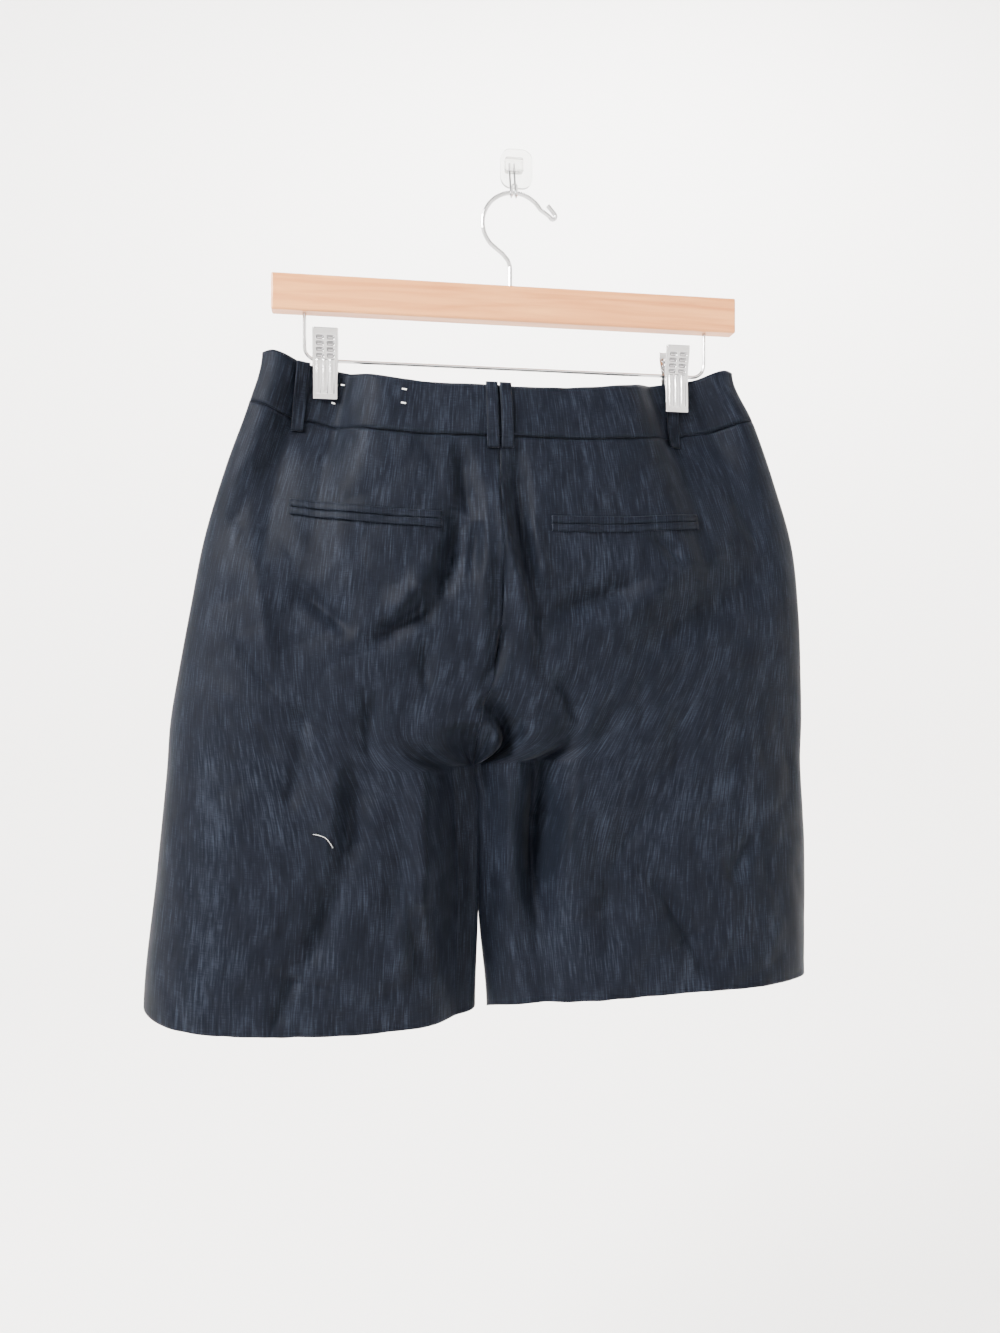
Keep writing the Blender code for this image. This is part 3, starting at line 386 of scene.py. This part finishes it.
def sheetPiece(name, columns, rows, place, thickness, inward, material, nodes=()):
    """Cloth laid on the form by place(u, v), with a wall on its inner side and its yarns in its UV."""
    mesh = bmesh.new()
    bmesh.ops.create_grid(mesh, x_segments=columns, y_segments=rows, size=0.5)
    flat = np.array([v.co for v in mesh.verts])
    u, v = flat[:, 0] + 0.5, flat[:, 1] + 0.5
    points = place(u, v)
    for vertex, point in zip(mesh.verts, points):
        vertex.co = point
    layer = mesh.loops.layers.uv.new("yarns")
    column = np.rint(u * columns).astype(int)
    row = np.rint(v * rows).astype(int)
    table = np.zeros((rows + 1, columns + 1, 3))
    table[row, column] = points
    across = np.linalg.norm(np.diff(table, axis=1), axis=2).mean(axis=0)
    along = np.linalg.norm(np.diff(table, axis=0), axis=2).mean(axis=1)
    across = np.append(0, np.cumsum(across)) + points[0, 0]
    along = np.append(0, np.cumsum(along))
    mesh.verts.index_update()
    for face in mesh.faces:
        for loop in face.loops:
            index = loop.vert.index
            loop[layer].uv = (across[column[index]], along[row[index]])
    mesh.normal_update()
    if inward is None:
        hub = sum((v.co for v in mesh.verts), Vector()) / len(mesh.verts)
        facing = sum(f.normal.dot(f.calc_center_median() - hub) * f.calc_area() for f in mesh.faces)
        turned = facing < 0
    else:
        total = sum((f.normal * f.calc_area() for f in mesh.faces), Vector())
        turned = total.dot(Vector(inward)) > 0
    if turned:
        bmesh.ops.reverse_faces(mesh, faces=mesh.faces)
    tree = BVHTree.FromBMesh(mesh)
    piece = finishPiece(name, mesh, material, nodes)
    wall = piece.modifiers.new("wall", "SOLIDIFY")
    wall.thickness = thickness
    wall.offset = -1
    return piece, tree


def lieOn(trees, x, z, outward, reach=0.0):
    """Y of whichever cloth stands highest at a place, or just beside it where there is a seam."""
    for dz in (0, -0.0012, 0.0012, -0.003, 0.003, -0.006):
        best = None
        for dx in (-reach, 0, reach) if reach else (0,):
            for tree in trees:
                start = Vector((x + dx, outward * 0.5, z + dz))
                hit = tree.ray_cast(start, Vector((0, -outward, 0)))[0]
                if hit and (best is None or (hit.y - best) * outward > 0):
                    best = hit.y
        if best is not None:
            return best
    return 0.0


# ------------------------------------------------------------------ materials


def nodeMaterial(name):
    made = bpy.data.materials.new(name)
    made.use_nodes = True
    nodes, links = made.node_tree.nodes, made.node_tree.links
    return made, nodes, links, nodes["Principled BSDF"]


denim = {
    # how often slub yarns, picks and cloudy patches come, along the width and the length
    "slubs": (900, 45, 1),
    "picks": (160, 1500, 1),
    "patches": (55, 14, 1),
    "dark": (0.0012, 0.0018, 0.0036),
    "mid": (0.0034, 0.0047, 0.0084),
    "pale": (0.0175, 0.0220, 0.0330),
    "roughness": 0.60,
    "specular": 0.05,
    "sheen": 0.02,
}


def slubGroup():
    """Upright slub yarns over a fine weave. Gives a lightness mask and a height."""
    group = bpy.data.node_groups.new("slub weave", "ShaderNodeTree")
    group.interface.new_socket("Place", in_out="INPUT", socket_type="NodeSocketVector")
    group.interface.new_socket("Light", in_out="OUTPUT", socket_type="NodeSocketFloat")
    group.interface.new_socket("Height", in_out="OUTPUT", socket_type="NodeSocketFloat")
    nodes, links = group.nodes, group.links
    given, out = nodes.new("NodeGroupInput"), nodes.new("NodeGroupOutput")

    def streaks(scale, detail):
        stretch = nodes.new("ShaderNodeMapping")
        stretch.inputs["Scale"].default_value = scale
        noise = nodes.new("ShaderNodeTexNoise")
        noise.inputs["Scale"].default_value = 1.0
        noise.inputs["Detail"].default_value = detail
        noise.inputs["Roughness"].default_value = 0.6
        links.new(given.outputs["Place"], stretch.inputs["Vector"])
        links.new(stretch.outputs["Vector"], noise.inputs["Vector"])
        return noise.outputs["Fac"]

    slubs = streaks(denim["slubs"], 3)
    picks = streaks(denim["picks"], 2)
    patches = streaks(denim["patches"], 3)

    def mix(kind, a, b):
        step = nodes.new("ShaderNodeMath")
        step.operation = kind
        for slot, value in zip(step.inputs, (a, b)):
            if isinstance(value, (int, float)):
                slot.default_value = value
            else:
                links.new(value, slot)
        return step.outputs[0]

    light = mix("ADD", mix("MULTIPLY", slubs, 0.65), mix("MULTIPLY", picks, 0.20))
    light = mix("ADD", light, mix("MULTIPLY", patches, 0.30))
    links.new(light, out.inputs["Light"])
    links.new(mix("ADD", mix("MULTIPLY", slubs, 0.6), mix("MULTIPLY", picks, 0.4)), out.inputs["Height"])
    return group


def makeDenim():
    made, nodes, links, shader = nodeMaterial("navy denim")
    place = nodes.new("ShaderNodeUVMap")
    place.uv_map = "yarns"
    weave = nodes.new("ShaderNodeGroup")
    weave.node_tree = slubGroup()
    links.new(place.outputs["UV"], weave.inputs["Place"])
    ramp = nodes.new("ShaderNodeValToRGB")
    ramp.color_ramp.elements[0].position = 0.38
    ramp.color_ramp.elements[0].color = (*denim["dark"], 1)
    ramp.color_ramp.elements[1].position = 0.80
    ramp.color_ramp.elements[1].color = (*denim["pale"], 1)
    middle = ramp.color_ramp.elements.new(0.58)
    middle.color = (*denim["mid"], 1)
    links.new(weave.outputs["Light"], ramp.inputs["Fac"])
    links.new(ramp.outputs["Color"], shader.inputs["Base Color"])
    bump = nodes.new("ShaderNodeBump")
    bump.inputs["Strength"].default_value = 0.25
    bump.inputs["Distance"].default_value = 0.0004
    links.new(weave.outputs["Height"], bump.inputs["Height"])
    links.new(bump.outputs["Normal"], shader.inputs["Normal"])
    shader.inputs["Roughness"].default_value = denim["roughness"]
    shader.inputs["Specular IOR Level"].default_value = denim["specular"]
    shader.inputs["Sheen Weight"].default_value = denim["sheen"]
    shader.inputs["Sheen Roughness"].default_value = 0.4
    return made


def makeWood():
    made, nodes, links, shader = nodeMaterial("beech")
    place = nodes.new("ShaderNodeTexCoord")
    stretch = nodes.new("ShaderNodeMapping")
    stretch.inputs["Scale"].default_value = (9, 120, 170)
    grain = nodes.new("ShaderNodeTexNoise")
    grain.inputs["Scale"].default_value = 1.0
    grain.inputs["Detail"].default_value = 5
    grain.inputs["Distortion"].default_value = 0.6
    ramp = nodes.new("ShaderNodeValToRGB")
    ramp.color_ramp.elements[0].position = 0.30
    ramp.color_ramp.elements[0].color = (0.46, 0.155, 0.040, 1)
    ramp.color_ramp.elements[1].position = 0.72
    ramp.color_ramp.elements[1].color = (0.66, 0.285, 0.090, 1)
    links.new(place.outputs["Object"], stretch.inputs["Vector"])
    links.new(stretch.outputs["Vector"], grain.inputs["Vector"])
    links.new(grain.outputs["Fac"], ramp.inputs["Fac"])
    links.new(ramp.outputs["Color"], shader.inputs["Base Color"])
    shader.inputs["Roughness"].default_value = 0.42
    shader.inputs["Coat Weight"].default_value = 0.2
    return made


def makePlain(name, colour, roughness, metallic=0.0, transmission=0.0, speckle=0.06):
    """A smooth material whose roughness varies slightly."""
    made, nodes, links, shader = nodeMaterial(name)
    place = nodes.new("ShaderNodeTexCoord")
    noise = nodes.new("ShaderNodeTexNoise")
    noise.inputs["Scale"].default_value = 240
    noise.inputs["Detail"].default_value = 3
    spread = nodes.new("ShaderNodeMapRange")
    spread.inputs["To Min"].default_value = max(0.0, roughness - speckle)
    spread.inputs["To Max"].default_value = roughness + speckle
    links.new(place.outputs["Object"], noise.inputs["Vector"])
    links.new(noise.outputs["Fac"], spread.inputs["Value"])
    links.new(spread.outputs["Result"], shader.inputs["Roughness"])
    shader.inputs["Base Color"].default_value = (*colour, 1)
    shader.inputs["Metallic"].default_value = metallic
    shader.inputs["Transmission Weight"].default_value = transmission
    return made


# ------------------------------------------------------------------ the shorts

cloth = {
    "columns": {"back": 150, "front": 90},
    "rows": {"back": 240, "front": 150},
    "thickness": 0.0010,
    "band": 0.0016,
}


def makePanels(denimStuff):
    trees = {"back": [], "front": []}
    for face, inward in (("back", 1), ("front", -1)):
        for side in ("left", "right"):
            piece, tree = sheetPiece(
                f"{face}_{side}_cloth",
                cloth["columns"][face],
                cloth["rows"][face],
                lambda u, v, face=face, side=side: panelPlace(face, side, u, v),
                cloth["thickness"],
                (0, inward, 0),
                denimStuff,
                [f"{face}_{side}"],
            )
            trees[face].append(tree)
    print("leg panels:", cloth["rows"], "rows")
    return trees


hems = {
    "depth": 0.038,
    "above": 0.0012,
    "inside": 0.0016,
    "thickness": 0.0009,
    # share of a panel's length that the ring's rows are measured over
    "share": 0.085,
    # x of the middle of each leg, and how far the ring's sides draw in towards it
    "middle": {"left": -0.155, "right": 0.105},
    "drawIn": 0.016,
}


def makeHems(denimStuff):
    """The turned-up cloth inside each leg, a ring that runs behind and then before."""
    for side in ("left", "right"):

        def place(u, v, side=side):
            rounds = []
            for face, inward in (("back", 1), ("front", -1)):
                across = 1 - np.abs(2 * u - 1)
                low, high = (
                    panelPlace(face, side, across, np.full_like(u, t)) for t in (1.0, 1 - hems["share"])
                )
                share = (hems["above"] + (hems["depth"] - hems["above"]) * v) / np.abs(
                    high[:, 2] - low[:, 2]
                )
                points = panelPlace(face, side, across, 1 - share * hems["share"])
                points[:, 1] += inward * hems["inside"] * np.clip(np.sin(math.pi * across), 0, 1) ** 0.3
                points[:, 0] += (hems["middle"][side] - points[:, 0]) * hems["drawIn"]
                rounds.append(points)
            return np.where((u <= 0.5)[:, None], rounds[0], rounds[1])

        sheetPiece(
            f"hem_{side}_cloth", 160, 14, place, hems["thickness"], None,
            denimStuff, [f"hem_{side}"],
        )
    print("hems: two rings")


def makeWaistband(denimStuff, trees):
    def behind(u, v):
        turn = math.pi * (u - 0.5)
        left = bandPlace("back", "left", np.abs(np.sin(turn)), 1 - v)
        right = bandPlace("back", "right", np.abs(np.sin(turn)), 1 - v)
        return np.where((turn < 0)[:, None], left, right)

    piece, tree = sheetPiece(
        "waistband_back_cloth", 200, 14, behind, cloth["band"], (0, 1, 0),
        denimStuff, ["waistband_back"],
    )
    trees["back"].append(tree)
    for side, away in (("left", -1), ("right", 1)):

        def before(u, v, side=side, away=away):
            points = bandPlace("front", side, np.sin(math.pi / 2 * u), 1 - v)
            points[:, 0] += away * form["seamGap"]
            return points

        piece, tree = sheetPiece(
            f"waistband_front_{side}_cloth", 90, 14, before, cloth["band"], (0, -1, 0),
            denimStuff, [f"waistband_front_{side}"],
        )
        trees["front"].append(tree)
    print("waistband: three pieces")


loops = {
    "width": 0.0092,
    "thickness": 0.0014,
    "below": 0.0095,
    "gap": 0.0003,
    "crown": 0.0004,
    "above": 0.0015,
    # face, x at the top and at the bottom, arch off the band
    "rows": {
        "loop_back_centre_left": ("back", -0.0224, -0.0222, 0.0010),
        "loop_back_centre_right": ("back", -0.0118, -0.0110, 0.0010),
        "loop_back_left": ("back", -0.1622, -0.1672, 0.0008),
        "loop_back_right": ("back", 0.1290, 0.1300, 0.0000),
        "loop_front_left": ("front", -0.1150, -0.1150, 0.0010),
        "loop_front_right": ("front", 0.0900, 0.0900, 0.0010),
    },
}


def waistShare(x):
    centre = curve(form["body"], 3, -0.165)
    return (x - centre) / (curve(form["body"], 1 if x < centre else 2, -0.165) - centre)


def makeLoops(denimStuff, trees):
    for name, (face, xTop, xBottom, arch) in loops["rows"].items():
        outward = -1 if face == "back" else 1
        share = waistShare(xTop)
        top = float(curve(form["waist"], 1 if face == "back" else 3, share))
        bottom = float(curve(form["waist"], 2 if face == "back" else 4, share)) - loops["below"]

        def place(u, v):
            points = []
            for a, b in zip(u, v):
                z = bottom + (top + loops["above"] - bottom) * b
                x = xBottom + (xTop - xBottom) * b + (a - 0.5) * loops["width"]
                onCloth = lieOn(trees[face], x, min(z, top - 0.004), outward, 0.003)
                edge = loops["crown"] * math.sin(math.pi * a) ** 0.4
                off = loops["gap"] + loops["thickness"] + arch * math.sin(math.pi * b) + edge
                points.append((x, onCloth + outward * off, z))
            return np.array(points)

        sheetPiece(
            f"{name}_cloth", 8, 28, place, loops["thickness"], (0, -outward, 0),
            denimStuff, [name],
        )
    print("belt loops:", len(loops["rows"]))


welts = {
    "height": 0.0060,
    "thickness": 0.0010,
    "lip": 0.0002,
    "sag": 0.0020,
    "gap": 0.0009,
    "crown": 0.0006,
    "left": ((-0.1720, -0.2535), (-0.0615, -0.2640)),
    "right": ((0.0205, -0.2655), (0.1395, -0.2595)),
}


def makeWelts(denimStuff, trees):
    for side in ("left", "right"):
        (x0, z0), (x1, z1) = welts[side]
        for name, low, high in (
            ("upper", welts["lip"], welts["height"]),
            ("lower", -welts["height"], -welts["lip"]),
        ):

            def place(u, v, low=low, high=high):
                points = []
                for a, b in zip(u, v):
                    x = x0 + (x1 - x0) * a
                    middle = z0 + (z1 - z0) * a - welts["sag"] * math.sin(math.pi * a)
                    z = middle + low + (high - low) * b
                    onCloth = lieOn(trees["back"][:2], x, z, -1, 0.002)
                    puffed = welts["crown"] * math.sin(math.pi * b) ** 0.5
                    points.append((x, onCloth - welts["gap"] - puffed, z))
                return np.array(points)

            sheetPiece(
                f"pocket_{side}_welt_{name}_cloth", 60, 6, place, welts["thickness"], (0, 1, 0),
                denimStuff, [f"pocket_{side}_welt_{name}"],
            )
    print("pocket welts: four")


# ------------------------------------------------------------------ stitches and lint

stitches = {
    "thread": 0.0006,
    "lintRadius": 0.00012,
    "proud": 0.0006,
    # ends of each tack: x, z, x, z
    "tacks": (
        (-0.0895, -0.1646, -0.0860, -0.1650),
        (-0.0903, -0.1756, -0.0868, -0.1760),
        (-0.1345, -0.1562, -0.1322, -0.1568),
        (-0.1418, -0.1700, -0.1392, -0.1706),
    ),
    "lint": ((-0.1538, -0.4908), (-0.1464, -0.4916), (-0.1421, -0.4962), (-0.1400, -0.5004)),
}


def makeThreads(threadStuff, trees):
    lines = [[(a, b), ((a + c) / 2, (b + d) / 2), (c, d)] for a, b, c, d in stitches["tacks"]]
    for number, line in enumerate(lines + [list(stitches["lint"])]):
        data = bpy.data.curves.new(f"thread_{number}", "CURVE")
        data.dimensions = "3D"
        data.bevel_depth = stitches["thread" if number < len(lines) else "lintRadius"]
        data.use_fill_caps = True
        spline = data.splines.new("NURBS")
        spline.points.add(len(line) - 1)
        spline.use_endpoint_u = True
        spline.order_u = 3
        for slot, (x, z) in zip(spline.points, line):
            slot.co = (x, lieOn(trees["back"], x, z, -1, 0.002) - stitches["proud"], z, 1)
        data.materials.append(threadStuff)
        piece = bpy.data.objects.new(f"thread_{number}", data)
        bpy.context.collection.objects.link(piece)
        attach(piece, "root")
    print("threads:", len(lines) + 1)


# ------------------------------------------------------------------ the clips

clips = {
    "width": 0.0195,
    "lip": -0.1679,
    "metal": 0.0006,
    # height above the lip and distance from the wire
    "profile": (
        (0.0000, 0.0048),
        (0.0080, 0.0052),
        (0.0190, 0.0054),
        (0.0302, 0.0056),
        (0.0390, 0.0076),
        (0.0465, 0.0104),
        (0.0525, 0.0112),
    ),
    "opening": {("right", "back"): 0.0025},
    "ribs": (-0.0050, 0.0, 0.0050),
    "ribWidth": 0.0017,
    "ribHeight": 0.0009,
    "ribTop": 0.0300,
    "slots": (0.0330, 0.0372, 0.0414, 0.0456),
    "slotX": (-0.0040, 0.0040),
    "slotHalf": (0.0026, 0.0011),
    "slotDepth": 0.0024,
    "edge": 0.0009,
    "edgeDrop": 0.0020,
    "ribFoot": 0.0040,
}


def makeClips(steel):
    top = clips["profile"][-1][0]
    for side, x in form["clips"].items():
        for face, outward in (("back", -1), ("front", 1)):
            more = clips["opening"].get((side, face), 0.0)

            def place(u, v, x=x, outward=outward, more=more):
                height = v * top
                off = curve(clips["profile"], 1, height) + more * (1 - v)
                across = (u - 0.5) * clips["width"]
                for rib in clips["ribs"]:
                    bulge = np.exp(-(((across - rib) / clips["ribWidth"]) ** 4))
                    ribbed = (height < clips["ribTop"]) * (height > clips["ribFoot"])
                    off = off + clips["ribHeight"] * bulge * ribbed
                for level in clips["slots"]:
                    for middle in clips["slotX"]:
                        wide = ((across - middle) / clips["slotHalf"][0]) ** 6
                        tall = ((height - level) / clips["slotHalf"][1]) ** 4
                        off = off - clips["slotDepth"] * np.exp(-wide - tall)
                edge = np.clip(np.abs(across) - clips["width"] / 2 + clips["edge"], 0, None)
                off = off - clips["edgeDrop"] * (edge / clips["edge"]) ** 2
                return np.stack([x + across, outward * off, clips["lip"] + height], -1)

            sheetPiece(
                f"clip_{side}_{face}_pressed", 60, 110, place, clips["metal"], (0, -outward, 0),
                steel, [f"clip_{side}_{face}_plate"],
            )
    print("clip plates: four")


# ------------------------------------------------------------------ the stage

stage = {"radius": 2.6, "floor": -1.15, "wall": 3.6, "bend": 0.5, "colour": (0.93, 0.915, 0.90)}


def makeStage():
    """A round pale floor that curves up into a low wall, open above."""
    dish = bmesh.new()
    radius, bend, floor = stage["radius"], stage["bend"], stage["floor"]
    profile = [(0.0, floor), (radius - bend, floor)]
    for i in range(1, 9):
        turn = math.pi / 2 * i / 8
        profile.append((radius - bend + bend * math.sin(turn), floor + bend - bend * math.cos(turn)))
    profile.append((radius, floor + stage["wall"]))
    ends = [dish.verts.new((r, 0, z)) for r, z in profile]
    lines = [dish.edges.new(pair) for pair in zip(ends, ends[1:])]
    bmesh.ops.spin(
        dish, geom=ends + lines, cent=(0, 0, 0), axis=(0, 0, 1), angle=2 * math.pi, steps=96,
        use_merge=True,
    )
    bmesh.ops.remove_doubles(dish, verts=dish.verts, dist=1e-5)
    bmesh.ops.recalc_face_normals(dish, faces=dish.faces)
    bmesh.ops.reverse_faces(dish, faces=dish.faces)
    data = bpy.data.meshes.new("stage")
    dish.to_mesh(data)
    dish.free()
    data.shade_smooth()
    floorPiece = bpy.data.objects.new("stage", data)
    floorPiece.data.materials.append(makePlain("stage", stage["colour"], 0.9, speckle=0.02))
    bpy.context.collection.objects.link(floorPiece)


lights = {
    "key": {"place": (-1.50, -0.90, 0.90), "size": 0.8, "watts": 175, "colour": (1.0, 0.985, 0.96)},
    "fill": {"place": (1.50, -1.20, 0.10), "size": 1.6, "watts": 6, "colour": (0.96, 0.97, 1.0)},
    "back": {"place": (0.40, 0.90, 1.70), "size": 1.4, "watts": 190, "colour": (1.0, 1.0, 1.0),
             "aim": (0, 2.6, -0.5)},
    "sky": 0.62,
}


def makeLights():
    for name in ("key", "fill", "back"):
        row = lights[name]
        lamp = bpy.data.lights.new(name, "AREA")
        lamp.energy = row["watts"]
        lamp.size = row["size"]
        lamp.color = row["colour"]
        holder = bpy.data.objects.new(name, lamp)
        holder.location = row["place"]
        aim = Vector(row.get("aim", (0, 0, -0.35))) - Vector(row["place"])
        holder.rotation_euler = aim.to_track_quat("-Z", "Y").to_euler()
        bpy.context.collection.objects.link(holder)
    world = bpy.data.worlds.new("studio")
    world.use_nodes = True
    sky = world.node_tree.nodes["Background"]
    sky.inputs["Color"].default_value = (1.0, 0.985, 0.965, 1)
    sky.inputs["Strength"].default_value = lights["sky"]
    bpy.context.scene.world = world


# ------------------------------------------------------------------ all of it

makeCamera()
makeLights()
makeStage()
denimStuff = makeDenim()
steel = makePlain("bright plating", (0.50, 0.50, 0.51), 0.20, metallic=1.0)
thread = makePlain("white thread", (0.85, 0.85, 0.83), 0.7)
finishes = {
    "beech": makeWood(),
    "chromed_steel": steel,
    "navy_denim": denimStuff,
    "zip_tape": makePlain("zip tape", (0.018, 0.022, 0.034), 0.75),
    "navy_button": makePlain("button resin", (0.015, 0.018, 0.028), 0.35),
    "clip_pad": makePlain("clip rubber", (0.50, 0.33, 0.28), 0.6),
    "clear_plastic": makePlain("clear plastic", (0.97, 0.98, 0.96), 0.08, transmission=0.9),
}
slots = {row["node"]: row["material_slot"] for row in frame["record"]["subparts"]}
for node, thing in frame["nodes"].items():
    for place in thing.material_slots:
        place.material = finishes[slots[node]]
print("solids finished:", len(slots))

clothTrees = makePanels(denimStuff)
makeHems(denimStuff)
makeWaistband(denimStuff, clothTrees)
makeLoops(denimStuff, clothTrees)
makeWelts(denimStuff, clothTrees)
makeThreads(thread, clothTrees)
makeClips(steel)
